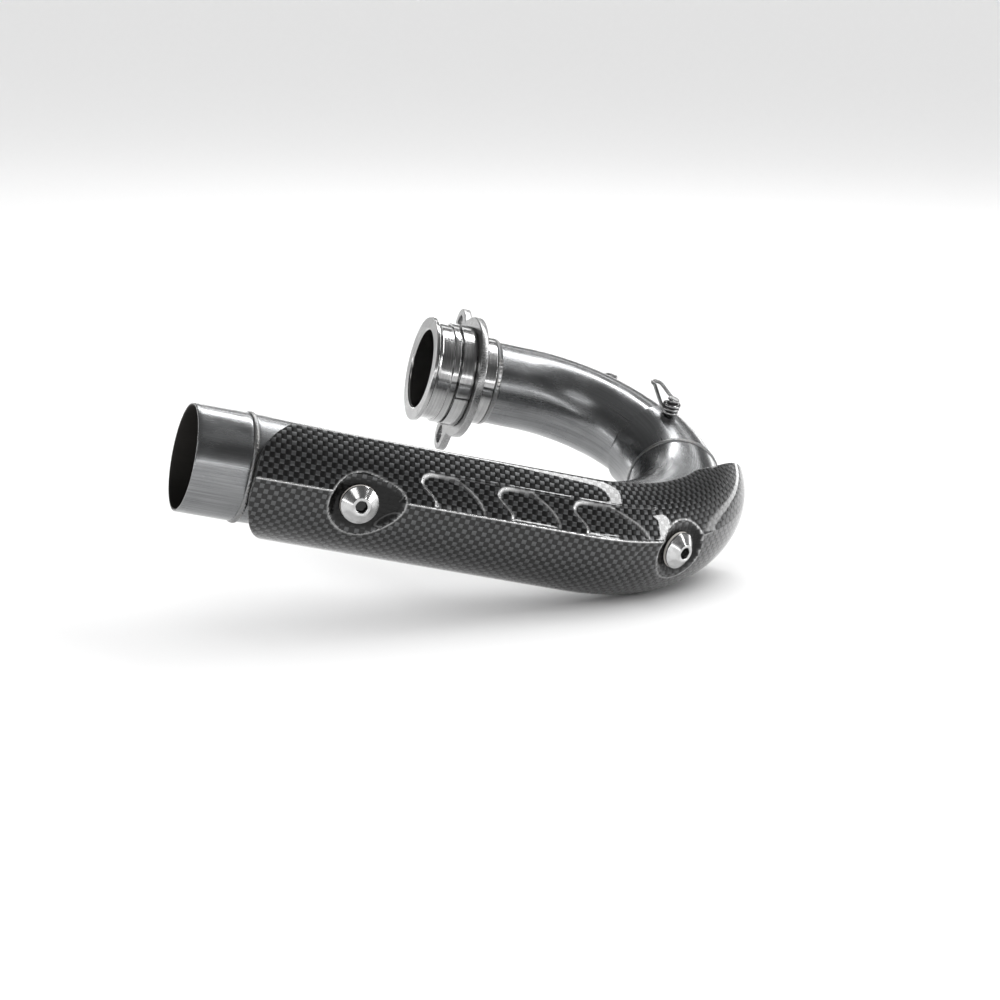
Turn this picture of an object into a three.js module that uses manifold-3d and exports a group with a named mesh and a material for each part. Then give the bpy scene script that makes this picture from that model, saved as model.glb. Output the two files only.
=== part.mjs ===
// Exhaust header of an off-road race bike: port spigot, loose stud flange,
// two pipe sections joined by a slip joint, and a moulded heat shield.
// Millimetres. The header is drawn flat, with its bend in the XY plane, and
// the whole group is then pitched and rolled into its fitted position, +Z up.

import * as THREE from 'three';
import { mergeVertices } from 'three/addons/utils/BufferGeometryUtils.js';
import Module from 'manifold-3d';

const wasm = await Module();
wasm.setup();

const degrees = THREE.MathUtils.degToRad;
const lerp = THREE.MathUtils.lerp;

// ---- driving dimensions ----

// fitted position of the flat header
const PITCH = degrees(13.7);
const ROLL = degrees(18.8);

// centreline: straight front leg, one U-bend, straight rear leg
const FRONT_LEG = 48.9;
const BEND_RADIUS = 63;
const BEND_ANGLE = degrees(178.4);
const BEND_END = FRONT_LEG + BEND_RADIUS * BEND_ANGLE;
const REAR_LEG = 175;
const OUTLET_END = BEND_END + REAR_LEG;

// pipes, as outer radius and wall
const FRONT_PIPE = 19.05;
const REAR_PIPE = 21;
const OUTLET_PIPE = 23.1;
const FRONT_WALL = 1;
const REAR_WALL = 1.2;
const GAP = 0.3;

// where the pipe sections meet, measured along the centreline
const SPIGOT_END = 31;
const SLEEVE_MOUTH = 116.3;
const SLIP_OVERLAP = 20;
const SLEEVE_WELD = 148.5;
const BEND_WELD = 247;
const CONE_START = 310;
const CONE_END = 395;

// port spigot, lip first
const LIP_RADIUS = 24.4;
const LIP_THICKNESS = 1.8;
const BARREL_RADIUS = 22.3;
const SHOULDER_RADIUS = 23.3;
const SHOULDER_FRONT = 9.3;
const SHOULDER_BACK = 12.3;
const NECK_RADIUS = 20.4;
const LIP_FILLET = [[0.6, 0.5], [1.8, 0]];
const SPIGOT_BORE = 18.1;
const MOUTH_CHAMFER = 0.65;

// split thrust collar behind the shoulder
const COLLAR_FRONT = 13.3;
const COLLAR_STEP = 19.8;
const COLLAR_BACK = 23;
const COLLAR_RADIUS = 23.6;
const COLLAR_PILOT = 22.1;
const COLLAR_BORE = 20.75;

// loose flange
const FLANGE_FRONT = 20.2;
const FLANGE_THICKNESS = 3.5;
const FLANGE_RADIUS = 28.3;
const FLANGE_BORE = 22.5;
const STUD_HOLE = 4.2;
const EAR_RADIUS = 7.4;
const EAR_ROOT = 1.6 * EAR_RADIUS;
const PLATE_SIDES = 36;
const EAR_SIDES = 20;
const STUDS = [
  { angle: degrees(22), reach: 32.6 },
  { angle: degrees(-81.7), reach: 34.2 },
];

// weld beads
const BEAD_WIDTH = 2.6;
const BEAD_HEIGHT = 0.5;
const BEAD_CORNER = { along: 0.6, rise: 0.75 };
const NECK_BEAD = { crest: 0.4, rise: 0.3, drop: 0.2, toe: 0.1 };

// heat shield, in stations along the pipe and angles round it, from the outside of the bend
const SHIELD_RADIUS = 28.5;
const SHIELD_THICKNESS = 1.6;
const SHIELD_MESH = { along: 40, around: 19 };
const SHIELD_LOW = degrees(-74);
const SHIELD_HIGH = degrees(78);
const CREASE_RADIUS = 30;
const CREASE_ANGLE = degrees(22);
const SHIELD_FRONT = 152;
const SHIELD_REAR = 395.7;
const SHIELD_MIDDLE = degrees(2);
const FRONT_SWEEP = 38;
const REAR_CROWN = degrees(10);
const REAR_SWEEP_HIGH = 15;
const REAR_SWEEP_LOW = 19;
const REAR_POWER_LOW = 1.8;

// at the front of the bend the crease dies out and the shield flares
const FLARE = 3;
const FLARE_ANGLE = degrees(28);
const FLARE_SPREAD = degrees(45);
const FLARE_FRONT = 160;
const FLARE_END = 215;

// shield fastenings, as distances from the pipe's axis
const SCREWS = {
  front: { distance: 212, angle: degrees(10.5) },
  rear: { distance: 348.5, angle: degrees(13.5) },
};
const BUNG_RADIUS = 6.5;
const BUNG_BOTTOM = 19.2;
const BUNG_TOP = 22.9;
const BUNG_FLOOR = 0.7;
const FILLET = { reach: 2, depth: 2.5, rise: 1.1 };
const INNER_WASHER = [23.2, 23.7];
const SEAT_INNER = 24;
const SEAT_OUTER = 25.6;
const OUTER_WASHER = [25.9, 26.8];
const HEAD_BOTTOM = 27.1;
const HEAD_TOP = 31.2;
const HEAD_RADIUS = 8.3;
const HEAD_CROWN = 3.9;
const HEAD_RIM = 0.7;
const HEAD_EASE = 0.3;
const SHANK_RADIUS = 3;
const SHANK_END = 20.2;
const HEX_RADIUS = 2.7;
const HEX_DEPTH = 2.6;
const DISH_RADIUS = 13.2;
const DISH_WALL = 1.6;
const DISH_SIDES = 28;
const PIPE_ROOM = 3;
const HOLE_ROOM = 0.6;

// gills pressed into the shield's upper facet
const GILL_COUNT = 3;
const GILL_PITCH = 34.3;
const GILL_BOTTOM = { angle: degrees(23.5), rear: 317, front: 295.5 };
const GILL_TOP = { angle: degrees(50), rear: 323.7, front: 309.5 };
const GILL_DEPTH = 0.6;
const GILL_MESH = { along: 5, around: 4 };
const CUTTER_HEIGHT = 2;

// slip joint spring, wound round a post that stands on the sleeve
const POST_STATION = 123.5;
const POST_ANGLE = degrees(88);
const POST_RADIUS = 1.9;
const POST_HEAD_RADIUS = 2.9;
const POST_HEAD = [7.1, 7.9];
const WIRE_RADIUS = 0.85;
const COIL_RADIUS = 3.3;
const COIL_PITCH = 1.8;
const COIL_TURNS = 2.5;
const COIL_BASE = 1.15;
const COIL_POINTS = 10;
const LOOP_POINTS = 4;
const SPRING_STEPS = 64;
const LOOP_LENGTH = 13.2;
const LOOP_TOP = 9.8;
const LEG_RISE = 0.45;
const LOOP_HEADING = degrees(20);
const LOOP_HALF_WIDTH = 2.5;
const LOOP_OPENING = degrees(35);

// spring hooks: the route lists distance along the pipe and rise above the foot
const HOOK_WIRE = 1.4;
const HOOK_STEPS = 14;
const HOOK_ROUTE = [[6, 0], [0, 0], [-3, 0.8], [-4.2, 3], [-2.8, 5], [0.5, 5.6]];
const FRONT_HOOK = { distance: 84, angle: degrees(23), surface: FRONT_PIPE };
const OUTLET_HOOK = { distance: 409, angle: degrees(180), surface: OUTLET_PIPE };

// facets
const PIPE_SIDES = 24;
const SMALL_SIDES = 16;
const POST_SIDES = 12;
const WIRE_SIDES = 8;
const PIPE_STEP = 7;

// ---- materials ----

function metal(colour, roughness) {
  return new THREE.MeshStandardMaterial({ color: colour, roughness, metalness: 1 });
}

const PIPE_STEEL = metal(0x6f7174, 0.32);
const MACHINED_STEEL = metal(0x9a9c9f, 0.22);
const FLANGE_STEEL = metal(0x86888b, 0.35);
const WELD_STEEL = metal(0x5b5c60, 0.45);
const SPRING_STEEL = metal(0xa4a6a8, 0.25);
const SCREW_METAL = metal(0xa9abad, 0.25);
const LAMINATE = new THREE.MeshStandardMaterial({ color: 0x1d1e20, roughness: 0.2, metalness: 0 });
const INSULATION = new THREE.MeshStandardMaterial({ color: 0xb9b3a4, roughness: 0.9, metalness: 0 });

// ---- centreline ----

function station(distance) {
  const turned = THREE.MathUtils.clamp(distance - FRONT_LEG, 0, BEND_END - FRONT_LEG) / BEND_RADIUS;
  const tangent = new THREE.Vector3(Math.cos(turned), -Math.sin(turned), 0);
  const outward = new THREE.Vector3(Math.sin(turned), Math.cos(turned), 0);
  const straight = Math.min(distance - FRONT_LEG, 0) + Math.max(distance - BEND_END, 0);
  const point = new THREE.Vector3(FRONT_LEG, -BEND_RADIUS, 0);
  point.addScaledVector(outward, BEND_RADIUS);
  point.addScaledVector(tangent, straight);
  return { point, tangent, outward };
}

class Centreline extends THREE.Curve {
  constructor(start, end) {
    super();
    this.start = start;
    this.end = end;
  }

  getPoint(t, target = new THREE.Vector3()) {
    return target.copy(station(lerp(this.start, this.end, t)).point);
  }
}

function radialAt(distance, angle) {
  const across = station(distance).outward.multiplyScalar(Math.cos(angle));
  return across.add(new THREE.Vector3(0, 0, Math.sin(angle)));
}

// a frame on the pipe's axis: +X along the pipe, +Z out through the wall at the angle given
function seatFrame(distance, angle) {
  const here = station(distance);
  const out = radialAt(distance, angle);
  const side = new THREE.Vector3().crossVectors(out, here.tangent);
  return new THREE.Matrix4().makeBasis(here.tangent, side, out).setPosition(here.point);
}

// ---- solids ----

function toSolid(geometry) {
  const bare = geometry.clone();
  bare.deleteAttribute('normal');
  bare.deleteAttribute('uv');
  const merged = mergeVertices(bare, 1e-4);
  const vertProperties = new Float32Array(merged.attributes.position.array);
  const triVerts = new Uint32Array(merged.index.array);
  return new wasm.Manifold(new wasm.Mesh({ numProp: 3, vertProperties, triVerts }));
}

function toGeometry(solid) {
  const mesh = solid.getMesh();
  const geometry = new THREE.BufferGeometry();
  geometry.setAttribute('position', new THREE.BufferAttribute(mesh.vertProperties, 3));
  geometry.setIndex(new THREE.BufferAttribute(mesh.triVerts, 1));
  geometry.computeVertexNormals();
  return geometry;
}

function part(name, geometry, material) {
  const mesh = new THREE.Mesh(geometry, material);
  mesh.name = name;
  return mesh;
}

// a ring or cup turned about +X: the profile lists [distance along X, radius],
// outside surface first, front to back, then the bore, back to front
function turned(profile, sides = PIPE_SIDES) {
  const points = [...profile, profile[0]].map(([along, radius]) => new THREE.Vector2(radius, along));
  return new THREE.LatheGeometry(points, sides).rotateZ(-Math.PI / 2);
}

// a cylinder from one height to another above the pipe's axis, in a seat frame
function plug(radius, bottom, top, sides = SMALL_SIDES) {
  const height = top - bottom;
  return new THREE.CylinderGeometry(radius, radius, height, sides)
    .rotateX(Math.PI / 2)
    .translate(0, 0, bottom + height / 2);
}

function washer(radius, bore, [bottom, top]) {
  const disc = new THREE.Shape().absarc(0, 0, radius, 0, 2 * Math.PI);
  disc.holes.push(new THREE.Path().absarc(0, 0, bore, 0, 2 * Math.PI));
  const options = { depth: top - bottom, bevelEnabled: false, curveSegments: SMALL_SIDES / 2 };
  return new THREE.ExtrudeGeometry(disc, options).translate(0, 0, bottom);
}

function pipe(start, end, outer, wall) {
  const section = new THREE.Shape().absarc(0, 0, outer, 0, 2 * Math.PI);
  section.holes.push(new THREE.Path().absarc(0, 0, outer - wall, 0, 2 * Math.PI));
  return new THREE.ExtrudeGeometry(section, {
    extrudePath: new Centreline(start, end),
    steps: Math.ceil((end - start) / PIPE_STEP),
    curveSegments: PIPE_SIDES / 2,
    bevelEnabled: false,
  });
}

function straightPipe(start, end, outerStart, outerEnd, wall) {
  const length = end - start;
  const profile = [
    [0, outerStart],
    [length, outerEnd],
    [length, outerEnd - wall],
    [0, outerStart - wall],
  ];
  return turned(profile).applyMatrix4(seatFrame(start, 0));
}

function weldBead(distance, surface) {
  const inner = surface + GAP;
  const half = BEAD_WIDTH / 2;
  const corner = half * BEAD_CORNER.along;
  const shoulder = inner + BEAD_HEIGHT * BEAD_CORNER.rise;
  const profile = [
    [-half, inner],
    [-corner, shoulder],
    [0, inner + BEAD_HEIGHT],
    [corner, shoulder],
    [half, inner],
  ];
  return turned(profile).applyMatrix4(seatFrame(distance, 0));
}

function wire(points, radius, steps) {
  const section = new THREE.Shape().absarc(0, 0, radius, 0, 2 * Math.PI);
  return new THREE.ExtrudeGeometry(section, {
    extrudePath: new THREE.CatmullRomCurve3(points, false, 'centripetal'),
    steps,
    curveSegments: WIRE_SIDES / 2,
    bevelEnabled: false,
  });
}

// ---- port end ----

function portSpigot() {
  const profile = [
    [0, LIP_RADIUS],
    [LIP_THICKNESS, LIP_RADIUS],
    ...LIP_FILLET.map(([along, rise]) => [LIP_THICKNESS + along, BARREL_RADIUS + rise]),
    [SHOULDER_FRONT, BARREL_RADIUS],
    [SHOULDER_FRONT, SHOULDER_RADIUS],
    [SHOULDER_BACK, SHOULDER_RADIUS],
    [SHOULDER_BACK, NECK_RADIUS],
    [SPIGOT_END, NECK_RADIUS],
    [SPIGOT_END, SPIGOT_BORE],
    [MOUTH_CHAMFER, SPIGOT_BORE],
    [0, SPIGOT_BORE + MOUTH_CHAMFER],
  ];
  return turned(profile);
}

function spigotBead() {
  const front = SPIGOT_END + GAP;
  const inner = FRONT_PIPE + GAP;
  const profile = [
    [front, NECK_RADIUS - NECK_BEAD.drop],
    [front + BEAD_WIDTH * NECK_BEAD.crest, NECK_RADIUS + NECK_BEAD.rise],
    [front + BEAD_WIDTH, inner + NECK_BEAD.toe],
    [front + BEAD_WIDTH, inner],
    [front, inner],
  ];
  return turned(profile);
}

function collarHalf(side) {
  const profile = [
    [COLLAR_FRONT, COLLAR_RADIUS],
    [COLLAR_STEP, COLLAR_RADIUS],
    [COLLAR_STEP, COLLAR_PILOT],
    [COLLAR_BACK, COLLAR_PILOT],
    [COLLAR_BACK, COLLAR_BORE],
    [COLLAR_FRONT, COLLAR_BORE],
  ];
  const reach = 2 * COLLAR_RADIUS;
  const half = new THREE.BoxGeometry(reach, 2 * reach, reach);
  half.translate(COLLAR_STEP, 0, side * (reach / 2 + GAP / 2));
  return toGeometry(toSolid(turned(profile)).intersect(toSolid(half)));
}

function portFlange() {
  let plate = toSolid(plug(FLANGE_RADIUS, 0, FLANGE_THICKNESS, PLATE_SIDES));
  for (const stud of STUDS) {
    plate = plate.add(toSolid(flangeEar(stud)));
  }
  plate = plate.subtract(toSolid(plug(FLANGE_BORE, -1, FLANGE_THICKNESS + 1, PLATE_SIDES)));
  for (const { angle, reach } of STUDS) {
    const hole = plug(STUD_HOLE, -1, FLANGE_THICKNESS + 1).translate(reach, 0, 0).rotateZ(angle);
    plate = plate.subtract(toSolid(hole));
  }
  const facePipe = new THREE.Matrix4().makeBasis(
    new THREE.Vector3(0, 1, 0),
    new THREE.Vector3(0, 0, 1),
    new THREE.Vector3(1, 0, 0),
  );
  return toGeometry(plate).applyMatrix4(facePipe).translate(FLANGE_FRONT, 0, 0);
}

// a round end whose straight flanks run in to the flange's centre
function flangeEar({ angle, reach }) {
  const outline = new THREE.Shape();
  outline.moveTo(0, -EAR_ROOT);
  outline.lineTo(reach, -EAR_RADIUS);
  outline.absarc(reach, 0, EAR_RADIUS, -Math.PI / 2, Math.PI / 2);
  outline.lineTo(0, EAR_ROOT);
  outline.closePath();
  const options = { depth: FLANGE_THICKNESS, bevelEnabled: false, curveSegments: EAR_SIDES / 2 };
  return new THREE.ExtrudeGeometry(outline, options).rotateZ(angle);
}

// ---- hooks, post and spring ----

// a bent wire hook: its foot lies along the pipe, its tip stands clear of it
function springHook({ distance, angle, surface }) {
  const foot = surface + GAP + HOOK_WIRE;
  const points = HOOK_ROUTE.map(([along, rise]) => new THREE.Vector3(along, 0, foot + rise));
  return wire(points, HOOK_WIRE, HOOK_STEPS).applyMatrix4(seatFrame(distance, angle));
}

function springPost() {
  const [headBottom, headTop] = POST_HEAD.map((height) => REAR_PIPE + height);
  const shaft = toSolid(plug(POST_RADIUS, REAR_PIPE + GAP, headTop, POST_SIDES));
  const head = toSolid(plug(POST_HEAD_RADIUS, headBottom, headTop, POST_SIDES));
  return toGeometry(shaft.add(head)).applyMatrix4(seatFrame(POST_STATION, POST_ANGLE));
}

// one wire: down one leg from the loop's end, round the coil, up the other leg and over the loop
function retainingSpring() {
  const base = REAR_PIPE + COIL_BASE;
  const top = base + COIL_PITCH * COIL_TURNS;
  const loopTop = REAR_PIPE + LOOP_TOP;
  const bend = LOOP_LENGTH - LOOP_HALF_WIDTH;
  const legWidth = (COIL_RADIUS + LOOP_HALF_WIDTH) / 2;
  const points = [
    new THREE.Vector3(-bend, -LOOP_HALF_WIDTH, loopTop),
    new THREE.Vector3(-bend / 2, -legWidth, lerp(base, loopTop, LEG_RISE)),
  ];
  for (let i = 0; i <= COIL_TURNS * COIL_POINTS; i += 1) {
    const angle = -Math.PI / 2 + (2 * Math.PI * i) / COIL_POINTS;
    const height = base + (COIL_PITCH * i) / COIL_POINTS;
    points.push(new THREE.Vector3(COIL_RADIUS * Math.cos(angle), COIL_RADIUS * Math.sin(angle), height));
  }
  points.push(new THREE.Vector3(-bend / 2, legWidth, lerp(top, loopTop, LEG_RISE)));
  for (let i = 0; i <= LOOP_POINTS; i += 1) {
    const angle = ((Math.PI - LOOP_OPENING) * i) / LOOP_POINTS;
    const along = bend + LOOP_HALF_WIDTH * Math.sin(angle);
    points.push(new THREE.Vector3(-along, LOOP_HALF_WIDTH * Math.cos(angle), loopTop));
  }
  const spring = wire(points, WIRE_RADIUS, SPRING_STEPS).rotateZ(LOOP_HEADING);
  return spring.applyMatrix4(seatFrame(POST_STATION, POST_ANGLE));
}

// ---- heat shield ----

// outer radius of the shield: round and flared at the front, then with two flats that meet in a crease
function skinRadius(distance, angle) {
  const flat = Math.acos(SHIELD_RADIUS / CREASE_RADIUS);
  const offset = Math.abs(angle - CREASE_ANGLE);
  const creased = SHIELD_RADIUS / Math.cos(Math.max(flat - offset, 0));
  const flared = SHIELD_RADIUS + FLARE * Math.exp(-(((angle - FLARE_ANGLE) / FLARE_SPREAD) ** 2));
  return lerp(flared, creased, THREE.MathUtils.smoothstep(distance, FLARE_FRONT, FLARE_END));
}

function frontEdge(angle) {
  const lean = Math.abs(angle - SHIELD_MIDDLE) / (SHIELD_HIGH - SHIELD_MIDDLE);
  return SHIELD_FRONT + FRONT_SWEEP * lean ** 3;
}

function rearEdge(angle) {
  const above = (angle - REAR_CROWN) / (SHIELD_HIGH - REAR_CROWN);
  const below = (angle - REAR_CROWN) / (SHIELD_LOW - REAR_CROWN);
  return SHIELD_REAR - (above > 0 ? REAR_SWEEP_HIGH * above ** 3 : REAR_SWEEP_LOW * below ** REAR_POWER_LOW);
}

function onShield(distance, angle, height) {
  const reach = skinRadius(distance, angle) + height;
  return radialAt(distance, angle).multiplyScalar(reach).add(station(distance).point);
}

// bends a box onto the pipe: place() turns its three unit coordinates into a point
function wrapped(columns, rows, place) {
  const box = new THREE.BoxGeometry(1, 1, 1, columns, rows, 1).translate(0.5, 0.5, 0.5);
  const position = box.attributes.position;
  const corner = new THREE.Vector3();
  for (let i = 0; i < position.count; i += 1) {
    corner.fromBufferAttribute(position, i);
    const placed = place(corner.x, corner.y, corner.z);
    position.setXYZ(i, placed.x, placed.y, placed.z);
  }
  return box;
}

function shieldShell(bottom, top) {
  return wrapped(SHIELD_MESH.along, SHIELD_MESH.around, (along, around, depth) => {
    const angle = lerp(SHIELD_LOW, SHIELD_HIGH, around);
    const distance = lerp(rearEdge(angle), frontEdge(angle), along);
    return onShield(distance, angle, lerp(bottom, top, depth));
  });
}

function gillCutter(index) {
  return wrapped(GILL_MESH.along, GILL_MESH.around, (along, around, depth) => {
    const angle = lerp(GILL_BOTTOM.angle, GILL_TOP.angle, around);
    const rear = lerp(GILL_BOTTOM.rear, GILL_TOP.rear, around);
    const front = lerp(GILL_BOTTOM.front, GILL_TOP.front, around);
    const distance = lerp(rear, front, along) - index * GILL_PITCH;
    return onShield(distance, angle, lerp(-GILL_DEPTH, CUTTER_HEIGHT, depth));
  });
}

function heatShield() {
  let shield = toSolid(shieldShell(-SHIELD_THICKNESS, 0));
  const room = toSolid(shieldShell(REAR_PIPE + PIPE_ROOM - SHIELD_RADIUS, -SHIELD_THICKNESS / 2));
  for (const { distance, angle } of Object.values(SCREWS)) {
    const seat = seatFrame(distance, angle);
    const cup = plug(DISH_RADIUS + DISH_WALL, SEAT_INNER, SHIELD_RADIUS, DISH_SIDES).applyMatrix4(seat);
    const dish = plug(DISH_RADIUS, SEAT_OUTER, 2 * SHIELD_RADIUS, DISH_SIDES).applyMatrix4(seat);
    const hole = plug(SHANK_RADIUS + HOLE_ROOM, 0, 2 * SHIELD_RADIUS).applyMatrix4(seat);
    shield = shield.add(toSolid(cup).intersect(room)).subtract(toSolid(dish)).subtract(toSolid(hole));
  }
  for (let index = 0; index < GILL_COUNT; index += 1) {
    shield = shield.subtract(toSolid(gillCutter(index)));
  }
  return toGeometry(shield);
}

function shieldBung(seat) {
  const body = toSolid(plug(BUNG_RADIUS, BUNG_BOTTOM, BUNG_TOP));
  const thread = toSolid(plug(SHANK_RADIUS + GAP, BUNG_BOTTOM + BUNG_FLOOR, BUNG_TOP + 1));
  return toGeometry(body.subtract(thread)).applyMatrix4(seat);
}

function bungBead(seat, pipeSolid) {
  const { reach, depth, rise } = FILLET;
  const collar = plug(BUNG_RADIUS + reach, REAR_PIPE - depth, REAR_PIPE + rise).applyMatrix4(seat);
  const socket = plug(BUNG_RADIUS + GAP, 0, 2 * REAR_PIPE).applyMatrix4(seat);
  return toGeometry(toSolid(collar).subtract(toSolid(socket)).subtract(pipeSolid));
}

function withBungHole(geometry, { distance, angle }) {
  const drill = plug(BUNG_RADIUS + GAP, REAR_PIPE / 2, 2 * REAR_PIPE);
  drill.applyMatrix4(seatFrame(distance, angle));
  return toGeometry(toSolid(geometry).subtract(toSolid(drill)));
}

function shieldScrew(seat) {
  const profile = [
    [SHANK_END, 0],
    [SHANK_END, SHANK_RADIUS],
    [HEAD_BOTTOM, SHANK_RADIUS],
    [HEAD_BOTTOM, HEAD_RADIUS],
    [HEAD_BOTTOM + HEAD_RIM, HEAD_RADIUS],
    [HEAD_TOP - HEAD_EASE, HEAD_CROWN + HEAD_EASE],
    [HEAD_TOP, HEAD_CROWN],
    [HEAD_TOP, 0],
  ];
  const points = profile.map(([height, radius]) => new THREE.Vector2(radius, height));
  const body = toSolid(new THREE.LatheGeometry(points, SMALL_SIDES).rotateX(Math.PI / 2));
  const socket = toSolid(plug(HEX_RADIUS, HEAD_TOP - HEX_DEPTH, HEAD_TOP + 1, 6));
  return toGeometry(body.subtract(socket)).applyMatrix4(seat);
}

// ---- assembly ----

function portParts() {
  return [
    part('port_spigot', portSpigot(), MACHINED_STEEL),
    part('spigot_weld_bead', spigotBead(), WELD_STEEL),
    part('collar_half_upper', collarHalf(1), MACHINED_STEEL),
    part('collar_half_lower', collarHalf(-1), MACHINED_STEEL),
    part('port_flange', portFlange(), FLANGE_STEEL),
  ];
}

function pipeParts() {
  const frontTube = pipe(SPIGOT_END + GAP, SLEEVE_MOUTH + SLIP_OVERLAP, FRONT_PIPE, FRONT_WALL);
  const sleeve = pipe(SLEEVE_MOUTH, SLEEVE_WELD - GAP / 2, REAR_PIPE, REAR_WALL);
  const bend = pipe(SLEEVE_WELD + GAP / 2, BEND_WELD - GAP / 2, REAR_PIPE, REAR_WALL);
  const leg = straightPipe(BEND_WELD + GAP / 2, CONE_START - GAP / 2, REAR_PIPE, REAR_PIPE, REAR_WALL);
  const cone = straightPipe(CONE_START + GAP / 2, CONE_END - GAP / 2, REAR_PIPE, OUTLET_PIPE, REAR_WALL);
  const outlet = straightPipe(CONE_END + GAP / 2, OUTLET_END, OUTLET_PIPE, OUTLET_PIPE, REAR_WALL);
  return [
    part('front_header_tube', frontTube, PIPE_STEEL),
    part('slip_sleeve', sleeve, PIPE_STEEL),
    part('sleeve_weld_bead', weldBead(SLEEVE_WELD, REAR_PIPE), WELD_STEEL),
    part('bend_tube', withBungHole(bend, SCREWS.front), PIPE_STEEL),
    part('bend_weld_bead', weldBead(BEND_WELD, REAR_PIPE), WELD_STEEL),
    part('rear_leg_tube', leg, PIPE_STEEL),
    part('cone_front_weld_bead', weldBead(CONE_START, REAR_PIPE), WELD_STEEL),
    part('expansion_cone', withBungHole(cone, SCREWS.rear), PIPE_STEEL),
    part('cone_rear_weld_bead', weldBead(CONE_END, OUTLET_PIPE), WELD_STEEL),
    part('outlet_tube', outlet, PIPE_STEEL),
  ];
}

function springParts() {
  return [
    part('front_spring_hook', springHook(FRONT_HOOK), SPRING_STEEL),
    part('outlet_spring_hook', springHook(OUTLET_HOOK), SPRING_STEEL),
    part('spring_post', springPost(), SPRING_STEEL),
    part('retaining_spring', retainingSpring(), SPRING_STEEL),
  ];
}

function shieldParts() {
  const parts = [part('heat_shield', heatShield(), LAMINATE)];
  const pipeSolids = {
    front: toSolid(pipe(SLEEVE_WELD, BEND_WELD, REAR_PIPE + GAP, REAR_WALL * 4)),
    rear: toSolid(straightPipe(CONE_START, CONE_END, REAR_PIPE + GAP, OUTLET_PIPE + GAP, REAR_WALL * 4)),
  };
  for (const [end, { distance, angle }] of Object.entries(SCREWS)) {
    const seat = seatFrame(distance, angle);
    const inner = washer(BUNG_RADIUS, SHANK_RADIUS + GAP, INNER_WASHER).applyMatrix4(seat);
    const outer = washer(HEAD_RADIUS, SHANK_RADIUS + GAP, OUTER_WASHER).applyMatrix4(seat);
    parts.push(part(`${end}_shield_bung`, shieldBung(seat), MACHINED_STEEL));
    parts.push(part(`${end}_bung_weld_bead`, bungBead(seat, pipeSolids[end]), WELD_STEEL));
    parts.push(part(`${end}_inner_washer`, inner, INSULATION));
    parts.push(part(`${end}_outer_washer`, outer, INSULATION));
    parts.push(part(`${end}_shield_screw`, shieldScrew(seat), SCREW_METAL));
  }
  return parts;
}

const header = new THREE.Group();
header.add(...portParts(), ...pipeParts(), ...springParts(), ...shieldParts());
header.rotation.set(ROLL, PITCH, 0, 'YXZ');

const exhaust = new THREE.Group();
exhaust.add(header);
exhaust.updateMatrixWorld(true);

export default exhaust;
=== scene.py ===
# Exhaust header of an off-road race bike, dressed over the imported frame: port spigot,
# loose stud flange, two pipe sections joined by a slip joint, and a laminate heat shield.
# Metres. The pieces are drawn flat, with the bend in the XY plane, and FITTED then
# pitches and rolls them into the frame's own position.

import math

import bmesh
import bpy
from mathutils import Matrix, Vector, noise


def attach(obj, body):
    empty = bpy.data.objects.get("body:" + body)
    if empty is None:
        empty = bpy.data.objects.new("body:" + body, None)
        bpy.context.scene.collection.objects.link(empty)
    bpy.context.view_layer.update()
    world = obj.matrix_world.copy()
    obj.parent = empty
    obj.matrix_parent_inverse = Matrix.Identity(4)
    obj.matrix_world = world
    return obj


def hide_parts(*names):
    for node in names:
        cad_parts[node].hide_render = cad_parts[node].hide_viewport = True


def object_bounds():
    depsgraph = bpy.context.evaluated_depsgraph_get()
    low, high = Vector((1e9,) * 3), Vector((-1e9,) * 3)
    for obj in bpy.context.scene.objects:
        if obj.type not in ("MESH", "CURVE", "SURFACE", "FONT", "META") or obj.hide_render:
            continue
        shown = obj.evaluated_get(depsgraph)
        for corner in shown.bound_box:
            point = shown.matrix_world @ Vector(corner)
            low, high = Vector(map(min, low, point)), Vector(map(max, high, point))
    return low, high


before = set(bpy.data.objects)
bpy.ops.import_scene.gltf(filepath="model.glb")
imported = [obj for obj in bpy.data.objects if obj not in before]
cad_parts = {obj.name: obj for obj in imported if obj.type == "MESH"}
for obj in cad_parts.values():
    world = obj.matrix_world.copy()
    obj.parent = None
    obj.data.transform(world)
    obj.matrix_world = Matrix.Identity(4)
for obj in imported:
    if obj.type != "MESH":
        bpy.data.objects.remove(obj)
cad_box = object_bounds()

UP = Vector((0, 0, 1))
TURN = 2 * math.pi
MM = 0.001

# ---- driving dimensions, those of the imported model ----

PITCH = math.radians(13.7)
ROLL = math.radians(18.8)
FITTED = Matrix.Rotation(PITCH, 4, "Y") @ Matrix.Rotation(ROLL, 4, "X")

FRONT_LEG = 48.9 * MM
BEND_RADIUS = 63 * MM
BEND_ANGLE = math.radians(178.4)
BEND_END = FRONT_LEG + BEND_RADIUS * BEND_ANGLE
OUTLET_END = BEND_END + 175 * MM

FRONT_PIPE = 19.05 * MM
REAR_PIPE = 21 * MM
OUTLET_PIPE = 23.1 * MM
FRONT_WALL = 1 * MM
REAR_WALL = 1.2 * MM
GAP = 0.3 * MM

SPIGOT_END = 31 * MM
SLEEVE_MOUTH = 116.3 * MM
SLIP_OVERLAP = 20 * MM
SLEEVE_WELD = 148.5 * MM
BEND_WELD = 247 * MM
CONE_START = 310 * MM
CONE_END = 395 * MM
WELDS = (SPIGOT_END, SLEEVE_WELD, BEND_WELD, CONE_START, CONE_END)

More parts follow.
